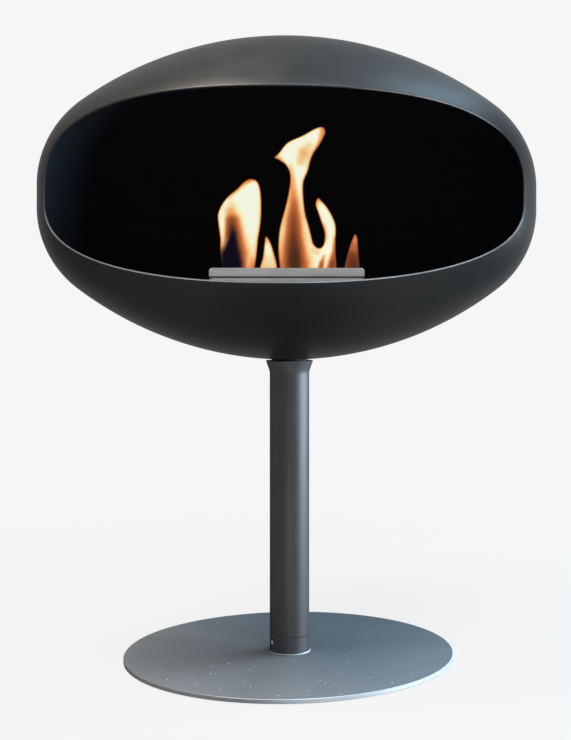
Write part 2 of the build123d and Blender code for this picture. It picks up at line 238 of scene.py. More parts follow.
def floor_material():
    """Pale and slightly shaded where it is seen, and a plain dull grey where it lights the object."""
    material = bpy.data.materials.new("pale_floor")
    material.use_nodes = True
    tree = material.node_tree
    tree.nodes.clear()
    glow = place(tree, "ShaderNodeEmission", {"Color": PALE, "Strength": 0.90})
    shade = place(tree, "ShaderNodeBsdfDiffuse", {"Color": (0.026, 0.025, 0.024, 1)})
    pale = place(tree, "ShaderNodeAddShader", {0: glow, 1: shade})
    dull = place(tree, "ShaderNodeBsdfDiffuse", {"Color": (0.45, 0.45, 0.43, 1)})
    surface = place(tree, "ShaderNodeMixShader", {0: seen_directly(tree), 1: dull, 2: pale})
    away = place(tree, "ShaderNodeVectorMath", {0: object_place(tree)}, operation="LENGTH")
    fade = Field(tree, away.outputs["Value"]).step(FADE_STARTS, FADE_ENDS)
    clear = place(tree, "ShaderNodeBsdfTransparent")
    out = place(tree, "ShaderNodeMixShader", {0: fade, 1: surface, 2: clear})
    place(tree, "ShaderNodeOutputMaterial", {0: out})
    return material


def make_floor():
    mesh = bpy.data.meshes.new("floor")
    disc = bmesh.new()
    bmesh.ops.create_circle(disc, cap_ends=True, radius=FLOOR_RADIUS, segments=96)
    disc.to_mesh(mesh)
    disc.free()
    floor = bpy.data.objects.new("floor", mesh)
    bpy.context.scene.collection.objects.link(floor)
    mesh.materials.append(floor_material())


make_world()
make_floor()
print("floor radius", FLOOR_RADIUS, "m")

# %% [markdown]
# ## The light
# In the photograph a cool, wide and low window stands to the right: it draws the bright line down the
# pole. Two soft lights high in front, a warm and a cool one, fall on the dome and on the front of the
# plate, while the body shades its rear. A bluish one high at the right and behind is mirrored along the
# window's upper right edge. The two faint ones are what a wall on the left throws back at the body, and
# the floor at the bowl. Large lamps are soft, which a satin coat needs, since it mirrors their shape.

# %% Lamps
OBJECT_MIDDLE = (0, 0, 0.40)
WARM_WHITE = (1.0, 0.94, 0.84)


def lamp(name, spot, size, power, colour, target=OBJECT_MIDDLE):
    """A soft rectangular lamp that faces a target. Places and sizes are in metres, and power is in watts."""
    data = bpy.data.lights.new(name, "AREA")
    data.shape = "RECTANGLE"
    data.size, data.size_y = size
    data.energy = power
    data.color = colour
    light = bpy.data.objects.new(name, data)
    light.location = spot
    light.rotation_euler = (Vector(target) - Vector(spot)).to_track_quat("-Z", "Y").to_euler()
    light.visible_camera = False
    bpy.context.scene.collection.objects.link(light)
    print(name, power, "W over", round(size[0] * size[1], 2), "square metres")


lamp("window_right", spot=(2.25, 0.12, 0.35), size=(2.5, 0.66), power=225, colour=(0.72, 0.87, 1.0))
lamp("sky_right", spot=(1.18, 0.90, 2.22), size=(1.0, 1.0), power=100, colour=(0.50, 0.77, 1.0),
     target=(0.15, -0.18, 0.65))
lamp("sky_left", spot=(-0.90, -0.47, 2.46), size=(1.0, 1.0), power=138, colour=(1.0, 0.88, 0.74))
lamp("sky_front", spot=(0.39, -1.08, 2.39), size=(1.0, 1.0), power=118, colour=(0.62, 0.82, 1.0))
lamp("room_left", spot=(-2.25, 0.20, 0.60), size=(1.2, 1.2), power=4, colour=WARM_WHITE)
lamp("floor_bounce", spot=(0.0, -0.55, 0.03), size=(0.3, 0.2), power=0.9, colour=WARM_WHITE,
     target=(0, -0.10, 0.37))


# %% [markdown]
# ## Effects that several finishes share
# A shader group is a tool made once and set to other numbers in each material. The grain is the fine
# orange-peel of powder paint with slow clouds in its tone. The dust lies only on faces that look up.
# The brush marks are a noise drawn out along one axis. Each group gives out only numbers that vary.

# %% Groups: grain, dust and brush marks
FLECKS_TO_A_PATCH = 60


def new_group(name, inputs, outputs):
    """An empty shader group with named inputs and outputs."""
    tree = bpy.data.node_groups.new(name, "ShaderNodeTree")
    sockets, kind = tree.interface, "NodeSocketFloat"
    for label, value in inputs.items():
        sockets.new_socket(name=label, in_out="INPUT", socket_type=kind).default_value = value
    for label in outputs:
        sockets.new_socket(name=label, in_out="OUTPUT", socket_type=kind)
    given = place(tree, "NodeGroupInput").outputs
    return tree, {label: Field(tree, given[label]) for label in inputs}


def grain_group():
    tree, given = new_group("paint_grain", {"Grain": 900.0, "Cloud": 7.0}, ["Height", "Cloud"])
    place(tree, "NodeGroupOutput", {
        "Height": noise(tree, given["Grain"], 2.0, 0.6),
        "Cloud": noise(tree, given["Cloud"], 4.0, 0.55).step(0.3, 0.7)})
    return tree


def facing_up(tree):
    """How far a face looks up: 1 for straight up, 0 for sideways and -1 for straight down."""
    return axes(tree, place(tree, "ShaderNodeTexCoord").outputs["Normal"])[2]


def dust_group():
    tree, given = new_group("settled_dust", {"Amount": 0.5, "Patch": 9.0}, ["Dust"])
    up = facing_up(tree).step(0.35, 0.95)
    spread = noise(tree, given["Patch"], 5.0, 0.65).step(0.35, 0.75) * 0.7 + 0.3
    spots = noise(tree, given["Patch"] * FLECKS_TO_A_PATCH, 2.0, 0.6).step(0.50, 0.75) * 0.6 + 0.4
    place(tree, "NodeGroupOutput", {"Dust": up * spread * spots * given["Amount"]})
    return tree


def brush_group():
    tree, given = new_group("brush_marks", {"Fine": 900.0, "Along": 0.02}, ["Height", "Tone"])
    x, y, z = axes(tree)
    drawn = place(tree, "ShaderNodeCombineXYZ", {0: x * given["Along"], 1: y, 2: z})
    place(tree, "NodeGroupOutput", {
        "Height": noise(tree, given["Fine"], 3.0, 0.7, drawn),
        "Tone": noise(tree, 14.0, 3.0).step(0.3, 0.7)})
    return tree


GRAIN, DUST, BRUSH = grain_group(), dust_group(), brush_group()


def use_group(tree, group, **values):
    """Places a group in a material with its own values, and gives its outputs by name."""
    node = place(tree, "ShaderNodeGroup", node_tree=group)
    for label, value in values.items():
        node.inputs[label].default_value = value
    return {socket.name: Field(tree, socket) for socket in node.outputs}


print("groups:", ", ".join(group.name for group in (GRAIN, DUST, BRUSH)))


# %% [markdown]
# ## The powder coat
# Body and stand have a satin black coat with fine metal flake, baked on as powder. It isn't pure black: it
# reads as dark grey, and as blue-grey where daylight grazes it. A Principled shader does this with a dark
# base, a share of metal for the flake and a rather rough gloss. A dark tint keeps the gloss from turning
# white where the eye grazes the surface, and the edge number says how much of it is left there. The
# plate's coat is a tone paler and bluer than the pole's: this is painted reflection of the bright room that
# the plate mirrors at a grazing angle. Its edge gets a bare steel tone from the middle to the right, a
# painted highlight where the window's light catches it. Clouds vary tone and roughness a little, and dust
# greys what looks up.

# %% Finish: powder coat
DUST_GREY = (0.30, 0.29, 0.27)
# The plate's edge from the middle to the right gets this steel tone as a painted highlight.
EDGE_HIGHLIGHT_STEEL = (0.42, 0.44, 0.46)
EDGE_HIGHLIGHT_STARTS = -50 * MM
EDGE_HIGHLIGHT_IS_FULL = 80 * MM


def new_finish(name, **values):
    """A material with a Principled shader, whose plain values are set on its own sockets."""
    material = bpy.data.materials.new(name)
    material.use_nodes = True
    tree = material.node_tree
    tree.nodes.clear()
    shader = place(tree, "ShaderNodeBsdfPrincipled")
    place(tree, "ShaderNodeOutputMaterial", {0: shader})
    for label, value in values.items():
        shader.inputs[label.replace("_", " ")].default_value = value
    return material, tree, shader


def link(tree, shader, **sources):
    """Links fields, colours or normals to the shader's inputs."""
    for label, source in sources.items():
        tree.links.new(source_of(source), shader.inputs[label.replace("_", " ")])


def painted_highlight_edge(tree):
    """1 on a narrow edge that faces sideways, from the middle to the right: a painted highlight where the
    window's light catches the edge.
    """
    return facing_up(tree).size().step(0.5, 0.9, 1.0, 0.0) * axes(tree)[0].step(EDGE_HIGHLIGHT_STARTS, EDGE_HIGHLIGHT_IS_FULL)


def coat(name, dark, light, metal, clear, edge, roughness, dust, painted_edge_highlight=0.0):
    """Powder coat between two tones, with shares of metal flake, clear gloss, grazing gloss, dust, and a
    painted edge highlight.
    """
    material, tree, shader = new_finish(name, Specular_IOR_Level=clear, Specular_Tint=(edge, edge, edge, 1))
    grain = use_group(tree, GRAIN, Grain=1100.0, Cloud=6.0)
    settled = use_group(tree, DUST, Amount=dust, Patch=9.0)["Dust"]
    paint = mix_colours(tree, grain["Cloud"], dark, light)
    dusty = mix_colours(tree, settled, paint, DUST_GREY)
    flake = settled * -metal + metal
    if painted_edge_highlight:
        # A bare steel tone on the right half of the edge: painted highlight where the window's light falls.
        edge_highlight_share = painted_highlight_edge(tree) * painted_edge_highlight
        dusty = mix_colours(tree, edge_highlight_share, dusty, EDGE_HIGHLIGHT_STEEL)
        flake = flake.math("MAXIMUM", edge_highlight_share)
    link(tree, shader,
         Base_Color=dusty,
         Metallic=flake,
         Roughness=grain["Cloud"] * 0.07 + settled * 0.25 + roughness,
         Normal=bump(tree, grain["Height"], 0.04 * MM, 0.5))
    return material


BODY_COAT = coat("body_paint", dark=(0.0235, 0.0235, 0.0235), light=(0.0275, 0.0275, 0.0275),
                 metal=0.72, clear=0.0, edge=0.42, roughness=0.34, dust=0.07)
STAND_COAT = coat("stand_paint", dark=(0.043, 0.043, 0.045), light=(0.050, 0.050, 0.052),
                  metal=0.54, clear=0.05, edge=0.15, roughness=0.42, dust=0.12)
# Paler and bluer than the stand's coat: painted reflection of the bright room at a grazing angle.
PLATE_COAT_PAINTED_REFLECTION = coat("plate_paint", dark=(0.098, 0.103, 0.109), light=(0.112, 0.117, 0.123),
                  metal=0.33, clear=0.0, edge=0.15, roughness=0.36, dust=0.20, painted_edge_highlight=0.75)
print("coats:", BODY_COAT.name, STAND_COAT.name, PLATE_COAT_PAINTED_REFLECTION.name)


# %% [markdown]
# ## The black inside and the window's edge
# The fire chamber is painted with matt stove paint and darkened by soot, so that the flames stand
# against near black. A very dark base with almost no gloss does it. Blue and grey clouds keep it from
# being one flat tone. The window's cut edge is as dark, but gets a pale steel tone along its lower right
# and in a short stretch at its upper right: a painted highlight where the light from the right catches
# the edge.

# %% Finishes: soot and window edge
# Where the window's edge gets its painted highlight, a pale steel tone on its lower right and upper right.
RIM_HIGHLIGHT_ACROSS = -100 * MM, 220 * MM
RIM_HIGHLIGHT_LOW = 500 * MM, 600 * MM
RIM_HIGHLIGHT_HIGH = 615 * MM, 635 * MM
RIM_HIGHLIGHT_HIGH_ACROSS = 60 * MM, 120 * MM


def soot_finish():
    material, tree, shader = new_finish("soot_black", Specular_IOR_Level=0.06)
    grain = use_group(tree, GRAIN, Grain=500.0, Cloud=11.0)
    link(tree, shader,
         Base_Color=mix_colours(tree, grain["Cloud"], (0.022, 0.030, 0.044), (0.030, 0.033, 0.040)),
         Roughness=grain["Cloud"] * 0.1 + 0.85,
         Normal=bump(tree, grain["Height"], 0.08 * MM, 0.6))
    return material


def rim_finish():
    """The cut edge of the window: dark, with a pale steel tone painted on its right side as highlight."""
    material, tree, shader = new_finish("window_rim", Specular_IOR_Level=0.12)
    grain = use_group(tree, GRAIN, Grain=700.0, Cloud=16.0)
    x, _, z = axes(tree)
    right = x.step(*RIM_HIGHLIGHT_ACROSS, 0.05, 0.5)
    low = z.step(*RIM_HIGHLIGHT_LOW, 0.8, 0.10)
    high = z.step(*RIM_HIGHLIGHT_HIGH) * x.step(*RIM_HIGHLIGHT_HIGH_ACROSS, 0.0, 1.6)
    # A pale steel tone on the edge's right side: painted highlight where the light from the right catches it.
    rim_highlight = right * (low + high) * (grain["Cloud"] * 0.5 + 0.5)
    link(tree, shader,
         Base_Color=mix_colours(tree, rim_highlight, (0.020, 0.020, 0.021), (0.38, 0.35, 0.325)),
         Metallic=rim_highlight * 0.8,
         Roughness=grain["Cloud"] * 0.1 + 0.35,
         Normal=bump(tree, grain["Height"], 0.03 * MM, 0.4))
    return material


SOOT, RIM = soot_finish(), rim_finish()


# %% [markdown]
# ## Brushed and turned steel
# The burner and its lid are stainless sheet, brushed along their length. Fine lines in the height make
# the gloss streaky, and the heat of the fire has tinted the top straw and faintly blue round the slot.
# Turned parts carry rings round their axis, and zinc-plated screws are duller and mottled.

# %% Finishes: steels, bronze and rubber
SLOT_MIDDLE = 40 * MM
SLOT_HALF_LENGTH = 82 * MM
SLOT_HALF_DEPTH = 30 * MM
STRAW_REACH = 2 * MM, 22 * MM
BLUE_REACH = 1 * MM, 7 * MM


def brushed_steel(name, tint):
    """Stainless sheet, with heat colours near the fire slot where tint is above 0."""
    material, tree, shader = new_finish(name, Specular_IOR_Level=0.5)
    marks = use_group(tree, BRUSH, Fine=1400.0, Along=0.015)
    steel = mix_colours(tree, marks["Tone"], (0.49, 0.49, 0.48), (0.59, 0.585, 0.575))
    steel = mix_colours(tree, marks["Height"].step(0.35, 0.75, 0.0, 0.35), steel, (0.36, 0.365, 0.36))
    x, y, _ = axes(tree)
    beside = (x.size() - SLOT_HALF_LENGTH).math("MAXIMUM", 0.0)
    before = ((y - SLOT_MIDDLE).size() - SLOT_HALF_DEPTH).math("MAXIMUM", 0.0)
    near = (beside * beside + before * before).root() + noise(tree, 60.0) * (4 * MM)
    steel = mix_colours(tree, near.step(*STRAW_REACH, tint, 0.0), steel, (0.42, 0.27, 0.12))
    steel = mix_colours(tree, near.step(*BLUE_REACH, tint * 0.8, 0.0), steel, (0.13, 0.14, 0.22))
    link(tree, shader,
         Base_Color=steel,
         Metallic=marks["Tone"] * 0.05 + 0.93,
         Roughness=marks["Height"] * 0.22 + 0.30,
         Normal=bump(tree, marks["Height"], 0.03 * MM, 0.5))
    return material


def turned_metal(name, first, second, roughness):
    """Metal with fine rings round the upright axis, as a lathe leaves them."""
    material, tree, shader = new_finish(name)
    x, y, z = axes(tree)
    rings = place(tree, "ShaderNodeCombineXYZ", {0: (x * x + y * y).root(), 1: z})
    height = noise(tree, 2500.0, 2.0, 0.6, rings)
    link(tree, shader,
         Base_Color=mix_colours(tree, noise(tree, 40.0, 3.0), first, second),
         Metallic=noise(tree, 90.0) * 0.08 + 0.9,
         Roughness=height * 0.2 + roughness,
         Normal=bump(tree, height, 0.02 * MM, 0.6))
    return material


def rubber_finish():
    material, tree, shader = new_finish("ring_rubber", Specular_IOR_Level=0.3)
    link(tree, shader,
         Base_Color=mix_colours(tree, noise(tree, 30.0, 4.0), (0.018, 0.018, 0.018), (0.035, 0.034, 0.033)),
         Roughness=noise(tree, 300.0) * 0.15 + 0.75,
         Normal=bump(tree, noise(tree, 1500.0), 0.05 * MM, 0.5))
    return material


STAINLESS = brushed_steel("brushed_stainless", 0.0)
TINTED = brushed_steel("heat_tinted_stainless", 0.75)
TURNED = turned_metal("lathe_steel", (0.40, 0.40, 0.41), (0.50, 0.50, 0.51), 0.28)
ZINC = turned_metal("zinc_plate", (0.52, 0.53, 0.55), (0.66, 0.67, 0.68), 0.34)
BRONZE = turned_metal("bush_bronze", (0.48, 0.33, 0.15), (0.60, 0.44, 0.22), 0.40)
# Near black: a greased bronze for the thrust washer, darkened further as painted shade of the gap under the
# bowl.
GREASE_AND_GAP_SHADE = turned_metal("greased_bronze", (0.020, 0.017, 0.013), (0.034, 0.028, 0.020), 0.55)
RUBBER = rubber_finish()
print("finishes so far:", len(bpy.data.materials))


# %% [markdown]
# ## Helpers for pieces
# A Geometry Nodes piece starts as an object with one modifier that holds the tree. Its inputs are set,
# the result is read back as a plain mesh, and the modifier goes. What is left is an ordinary mesh that
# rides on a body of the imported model.

# %% Make, bake and ride
def new_object(name, mesh):
    obj = bpy.data.objects.new(name, mesh)
    bpy.context.scene.collection.objects.link(obj)
    return obj


def new_tree(name, inputs):
    """A Geometry Nodes tree with named inputs. Gives the tree and the sockets of its inputs."""
    tree = bpy.data.node_groups.new(name, "GeometryNodeTree")
    tree.is_modifier = True
    tree.interface.new_socket(name="Start", in_out="INPUT", socket_type="NodeSocketGeometry")
    for label, value in inputs.items():
        kind = {int: "NodeSocketInt", float: "NodeSocketFloat"}.get(type(value), "NodeSocketMaterial")
        tree.interface.new_socket(name=label, in_out="INPUT", socket_type=kind).default_value = value
    tree.interface.new_socket(name="Piece", in_out="OUTPUT", socket_type="NodeSocketGeometry")
    return tree, place(tree, "NodeGroupInput").outputs


def end_tree(tree, geometry, material):
    """The last nodes of a tree: smooth faces, no instances left, and the material."""
    smooth = place(tree, "GeometryNodeSetShadeSmooth", {"Geometry": geometry})
    real = place(tree, "GeometryNodeRealizeInstances", {0: smooth})
    painted = place(tree, "GeometryNodeSetMaterial", {"Geometry": real, "Material": material})
    place(tree, "NodeGroupOutput", {0: painted})


def grow(name, tree, start=None, **values):
    """An object whose mesh the tree makes, with the values given for the tree's named inputs."""
    obj = new_object(name, start or bpy.data.meshes.new(name))
    modifier = obj.modifiers.new("shape", "NODES")
    modifier.node_group = tree
    for item in tree.interface.items_tree:
        label = item.name.replace(" ", "_")
        if item.in_out == "INPUT" and label in values:
            modifier[item.identifier] = values[label]
    return obj


def bake(obj):
    """Turns what the modifiers make into the object's own mesh."""
    graph = bpy.context.evaluated_depsgraph_get()
    mesh = bpy.data.meshes.new_from_object(
        obj.evaluated_get(graph), preserve_all_data_layers=True, depsgraph=graph)
    obj.modifiers.clear()
    obj.data = mesh
    mesh.name = obj.name
    print(obj.name, len(mesh.polygons), "faces")
    return obj


def soften(obj, width, angle):
    """A Bevel modifier on the edges that turn by more than the angle in degrees."""
    edge = obj.modifiers.new("soft_edge", "BEVEL")
    edge.width = width
    edge.segments = 2
    edge.limit_method = "ANGLE"
    edge.angle_limit = math.radians(angle)
    return edge


def print_box(obj):
    """Prints the lowest and highest corner of a piece in metres."""
    points = np.array([vert.co for vert in obj.data.vertices])
    print(obj.name, "from", points.min(0).round(4), "to", points.max(0).round(4))


def finish_piece(obj, body, slot, *stands_for):
    """The piece rides on a body and stands for the named nodes, which it hides. The slot is not used."""
    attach(obj, body)
    if stands_for:
        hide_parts(*stands_for)
    return obj


# %% [markdown]
# ## The lens-shaped body
# The real body is two spun steel bowls, welded rim to rim, ground smooth and painted, with the window cut
# through both. A lathe tool and a boolean could make it, but a boolean leaves ragged faces that spoil a
# smooth gloss. This tree lays rings instead: the first lies on the window's edge, and the others run from
# there round the sides to the middle of the back, so no face is ever cut. In side view the outline is a
# straight band at the widest place, then a knuckle arc, then a flatter crown arc.

# %% Sizes of the body
EQUATOR = 556 * MM
REACH = 300 * MM
RISE = 194 * MM
HALF_BAND = 13 * MM
KNUCKLE = 120 * MM
WALL = 2 * MM
WINDOW_HALF_WIDTH = 271 * MM
WINDOW_DROP = 11 * MM
WINDOW_RISE = 108 * MM
WINDOW_RISE_POWER = 3.2
WINDOW_FALL = 94.5 * MM
WINDOW_FALL_POWER = 2.3
LENS_COLUMNS = 361
LENS_RINGS = 112
EVEN_SHARE = 0.35
SWIVEL_HOLE_RADIUS = 22 * MM
CUTTER_HEIGHT = 24 * MM

# Material slots of the body. The tree leaves the first one empty. Coat, soot and cut edge follow.
COAT_SLOT, SOOT_SLOT, EDGE_SLOT = 1, 2, 3

knuckle_out = REACH - KNUCKLE
knuckle_span = RISE - HALF_BAND
CROWN = (knuckle_span ** 2 + knuckle_out ** 2 - KNUCKLE ** 2) / (2 * (knuckle_span - KNUCKLE))
crown_below = CROWN - RISE
lean = math.atan2(knuckle_out, crown_below + HALF_BAND)
ARCS_MEET_HEIGHT = CROWN * math.cos(lean) - crown_below
ARCS_MEET_RADIUS = CROWN * math.sin(lean)
print("crown radius", round(CROWN / MM, 1), "mm")
print("the arcs meet", round(ARCS_MEET_HEIGHT / MM, 1), "mm from the widest place")


# %% The tree that lays the rings
def choose(tree, test, yes, no):
    """The first field where the test is 1, else the second."""
    node = place(tree, "GeometryNodeSwitch", {"Switch": test, "False": no, "True": yes}, input_type="FLOAT")
    return Field(tree, node.outputs[0])


def lens_tree():
    sizes = {"Equator": EQUATOR, "Reach": REACH, "Rise": RISE, "Half band": HALF_BAND, "Knuckle": KNUCKLE,
             "Crown": CROWN, "Half width": WINDOW_HALF_WIDTH, "Drop": WINDOW_DROP,
             "Window rise": WINDOW_RISE, "Rise power": WINDOW_RISE_POWER,
             "Window fall": WINDOW_FALL, "Fall power": WINDOW_FALL_POWER}
    tree, given = new_tree("lens_body", {
        **sizes, "Columns": LENS_COLUMNS, "Rings": LENS_RINGS, "Coat": BODY_COAT})
    (equator, reach, rise, band, knuckle, crown, half_width, drop, window_rise, rise_power, window_fall,
     fall_power) = (Field(tree, given[label]) for label in sizes)
    sheet = place(tree, "GeometryNodeMeshGrid", {
        "Size X": 1.0, "Size Y": 1.0, "Vertices X": given["Columns"], "Vertices Y": given["Rings"]})
    column, ring, _ = axes(tree, place(tree, "GeometryNodeInputPosition"))
    turn, outward = (column + 0.5) * (2 * math.pi), ring + 0.5

    # The window's outline as the front view shows it, and the direction of each of its points.
    across, upward = turn.math("COSINE"), turn.math("SINE")
    above = upward.math("GREATER_THAN", 0.0)
    power = choose(tree, above, rise_power, fall_power)
    half_height = choose(tree, above, window_rise, window_fall)
    swell = (across.size() ** power + upward.size() ** power) ** (power ** -1 * -1)
    edge_x = half_width * swell * across
    edge_z = half_height * swell * upward - drop
    edge_away = (edge_x * edge_x + edge_z * edge_z).root()
    aim_x, aim_z = edge_x / edge_away, edge_z / edge_away
    side, high = aim_x.size(), aim_z.size()

    # How far off the body's outline is in that direction, on its band, knuckle or crown.
    knuckle_x = reach - knuckle
    below = crown - rise
    towards = side * knuckle_x + high * band
    past = towards * towards + knuckle * knuckle - knuckle_x * knuckle_x - band * band
    to_knuckle = towards + past.root()
    to_crown = (high * high * below * below + crown * crown - below * below).root() - high * below
    on_band = high.math("LESS_THAN", HALF_BAND / math.hypot(HALF_BAND, REACH))
    on_knuckle = high.math("LESS_THAN", ARCS_MEET_HEIGHT / math.hypot(ARCS_MEET_HEIGHT, ARCS_MEET_RADIUS))
    outline = choose(tree, on_band, reach / side, choose(tree, on_knuckle, to_knuckle, to_crown))

    # Each ring swings on from the window's edge, past the outline, to the middle of the back.
    first = (edge_away / outline).math("ARCSINE")
    share = outward * EVEN_SHARE + outward * outward * (1 - EVEN_SHARE)
    swing = first + (first * -1 + math.pi) * share
    x = swing.math("SINE") * outline * aim_x
    z = swing.math("SINE") * outline * aim_z
    level = z.size()
    up_knuckle = level - band
    up_crown = level + below
    knuckle_radius = knuckle_x + (knuckle * knuckle - up_knuckle * up_knuckle).root()
    crown_radius = (crown * crown - up_crown * up_crown).root()
    radius = choose(tree, level.math("LESS_THAN", HALF_BAND), reach,
                    choose(tree, level.math("LESS_THAN", ARCS_MEET_HEIGHT), knuckle_radius, crown_radius))
    depth = (radius * radius - x * x).math("MAXIMUM", 0.0).root()
    y = depth * (swing.math("GREATER_THAN", math.pi / 2) * 2 - 1)

    point = place(tree, "ShaderNodeCombineXYZ", {0: x, 1: y, 2: z + equator})
    bent = place(tree, "GeometryNodeSetPosition", {"Geometry": sheet, "Position": point})
    closed = place(tree, "GeometryNodeMergeByDistance", {"Geometry": bent, "Distance": 0.02 * MM})
    outside = place(tree, "GeometryNodeFlipFaces", {0: closed})
    end_tree(tree, outside, given["Coat"])
    return tree


# %% [markdown]
# The tree gives the outer skin only. Solidify adds the 2 mm wall inwards and squares the cut edge, as a
# cutter held square to the sheet does, and gives inside and edge their own materials. A boolean opens the
# small hole for the swivel, where the collar hides it, and Bevel takes the sharpness off the cut edge.

# %% Wall, swivel hole and softened edge
def swivel_hole_cutter():
    """A plain round cutter for the hole that the swivel's boss stands in."""
    mesh = bpy.data.meshes.new("swivel_hole_cutter")
    rod = bmesh.new()
    bmesh.ops.create_cone(rod, cap_ends=True, segments=96, depth=CUTTER_HEIGHT,
                          radius1=SWIVEL_HOLE_RADIUS, radius2=SWIVEL_HOLE_RADIUS)
    bmesh.ops.translate(rod, verts=rod.verts, vec=(0, 0, EQUATOR - RISE))
    rod.to_mesh(mesh)
    rod.free()
    return new_object("swivel_hole_cutter", mesh)


def make_lens():
    lens = bake(grow("lens_body", lens_tree(), Columns=LENS_COLUMNS, Rings=LENS_RINGS))
    for inside in (SOOT, RIM):
        lens.data.materials.append(inside)
    wall = lens.modifiers.new("wall", "SOLIDIFY")
    wall.thickness = WALL
    wall.offset = -1
    wall.use_even_offset = True
    wall.material_offset = SOOT_SLOT - COAT_SLOT
    wall.material_offset_rim = EDGE_SLOT - COAT_SLOT
    cutter = swivel_hole_cutter()
    hole = lens.modifiers.new("hole", "BOOLEAN")
    hole.operation = "DIFFERENCE"
    hole.solver = "EXACT"
    hole.object = cutter
    bake(lens)
    soften(lens, 0.45 * MM, 50).material = SOOT_SLOT
    bake(lens)
    bpy.data.objects.remove(cutter)
    return finish_piece(lens, "body", "body_coat", "lower_shell", "upper_shell")


print_box(make_lens())


# %% [markdown]
# ## The weld at the foot
# A bead of weld joins the short sleeve to the plate, and shows as a bright curl at the pole's foot. Its
# ripples repeat all the way round, so a tree sweeps a small section along a circle and presses the
# ripples into it a little.

# %% Weld bead
POLE_RADIUS = 24.15 * MM
PLATE_TOP = 6 * MM
WELD_SIZE = 1.6 * MM
WELD_TOE = 1.04
WELD_FULLNESS = 0.8
WELD_FACE_STEPS = 9
RIPPLE_LEAN = 1800.0
RIPPLE_STARTS, RIPPLE_IS_FULL = 0.1 * MM, 0.6 * MM


def section_mesh(name, points):
    """A closed line in the XY plane, which a tree can sweep along a circle."""
    mesh = bpy.data.meshes.new(name)
    count = len(points)
    mesh.from_pydata([(x, y, 0) for x, y in points], [(i, (i + 1) % count) for i in range(count)], [])
    return mesh


def weld_tree():
    # The bead takes the plate's coat, with its painted reflection and painted edge highlight.
    tree, given = new_tree("rippled_bead", {
        "Radius": POLE_RADIUS, "Level": PLATE_TOP, "Steps": 540, "Ripples": 84.0, "Depth": 0.16 * MM,
        "Coat": PLATE_COAT_PAINTED_REFLECTION})
    section = place(tree, "GeometryNodeMeshToCurve", {"Mesh": given["Start"]})
    path = place(tree, "GeometryNodeCurvePrimitiveCircle", {
        "Resolution": given["Steps"], "Radius": given["Radius"]})
    swept = place(tree, "GeometryNodeCurveToMesh", {"Curve": path, "Profile Curve": section})
    where = place(tree, "GeometryNodeInputPosition")
    x, y, z = axes(tree, where)
    ripple = (y.math("ARCTAN2", x) * given["Ripples"] + z * RIPPLE_LEAN).math("SINE").size()
    amount = (ripple + noise(tree, 260.0, where=where) - 0.8) * given["Depth"]
    away = (x * x + y * y).root() - given["Radius"]
    free = away.step(RIPPLE_STARTS, RIPPLE_IS_FULL) * z.step(RIPPLE_STARTS, RIPPLE_IS_FULL)

    # The swept faces look into the bead, so a push along their normal presses the ripples in.
    inward = place(tree, "GeometryNodeInputNormal")
    push = place(tree, "ShaderNodeVectorMath", {0: inward, "Scale": amount * free}, operation="SCALE")
    rippled = place(tree, "GeometryNodeSetPosition", {"Geometry": swept, "Offset": push})
    lift = place(tree, "ShaderNodeCombineXYZ", {2: given["Level"]})
    lifted = place(tree, "GeometryNodeTransform", {"Geometry": rippled, "Translation": lift})
    end_tree(tree, lifted, given["Coat"])
    return tree


def make_weld():
    """The section is a fat corner: a bulging face from plate to sleeve, and the point where they meet."""
    turns = [math.pi / 2 * i / WELD_FACE_STEPS for i in range(WELD_FACE_STEPS + 1)]
    face = [(WELD_SIZE * WELD_TOE * math.cos(a) ** WELD_FULLNESS, -WELD_SIZE * math.sin(a) ** WELD_FULLNESS)
            for a in turns]
    bead = bake(grow("weld_bead", weld_tree(), section_mesh("weld_section", [*face, (0.0, 0.0)])))
    return finish_piece(bead, "stand", "stand_coat", "foot_weld")


print_box(make_weld())


# %% [markdown]
# ## The sliding lid
# The lid is one folded sheet. Its flat part slides over the fire slot, and its upright lip, the pale bar
# in front of the flames, is what the poker pushes. Rows of points follow the fold, each as wide as the
# sheet is there, so the round corners come by themselves. Solidify and Bevel make it a real sheet.

# %% Lid
BURNER_TOP = 459.5 * MM
LID_SHEET = 1.5 * MM
LID_HALF = 90 * MM
LID_REAR = 4 * MM
LID_FRONT = -86 * MM
LIP_TOP = 471.5 * MM
LIP_CORNER = 4 * MM
FOLD_RADIUS = 1.75 * MM
REAR_CORNER = 1.5 * MM
FLAT_ROWS, FOLD_ROWS, LIP_ROWS, CORNER_ROWS, LID_COLUMNS = 24, 8, 5, 9, 61


def lid_rows():
    """Points (y, z) along the middle of the sheet from its rear edge to the lip's top."""
    middle = BURNER_TOP + LID_SHEET / 2
    fold_y = LID_FRONT + LID_SHEET / 2 + FOLD_RADIUS
    flat = [(y, middle) for y in np.linspace(LID_REAR, fold_y, FLAT_ROWS)]
    fold = [(fold_y - FOLD_RADIUS * math.sin(a), middle + FOLD_RADIUS * (1 - math.cos(a)))
            for a in np.radians(np.linspace(10, 80, FOLD_ROWS))]
    low = middle + FOLD_RADIUS
    straight = [(fold_y - FOLD_RADIUS, z) for z in np.linspace(low, LIP_TOP - LIP_CORNER, LIP_ROWS)]
    corner = [(fold_y - FOLD_RADIUS, LIP_TOP - LIP_CORNER * (1 - math.sin(a)))
              for a in np.radians(np.linspace(10, 90, CORNER_ROWS))]
    return flat + fold + straight + corner


def lid_half_width(y, z):
    """Half the sheet's width at a row: narrower in the lip's round corners and at the rear edge."""
    for away, radius in ((LIP_TOP - z, LIP_CORNER), (LID_REAR - y, REAR_CORNER)):
        if away < radius:
            return LID_HALF - radius + math.sqrt(max(0.0, radius ** 2 - (radius - away) ** 2))
    return LID_HALF


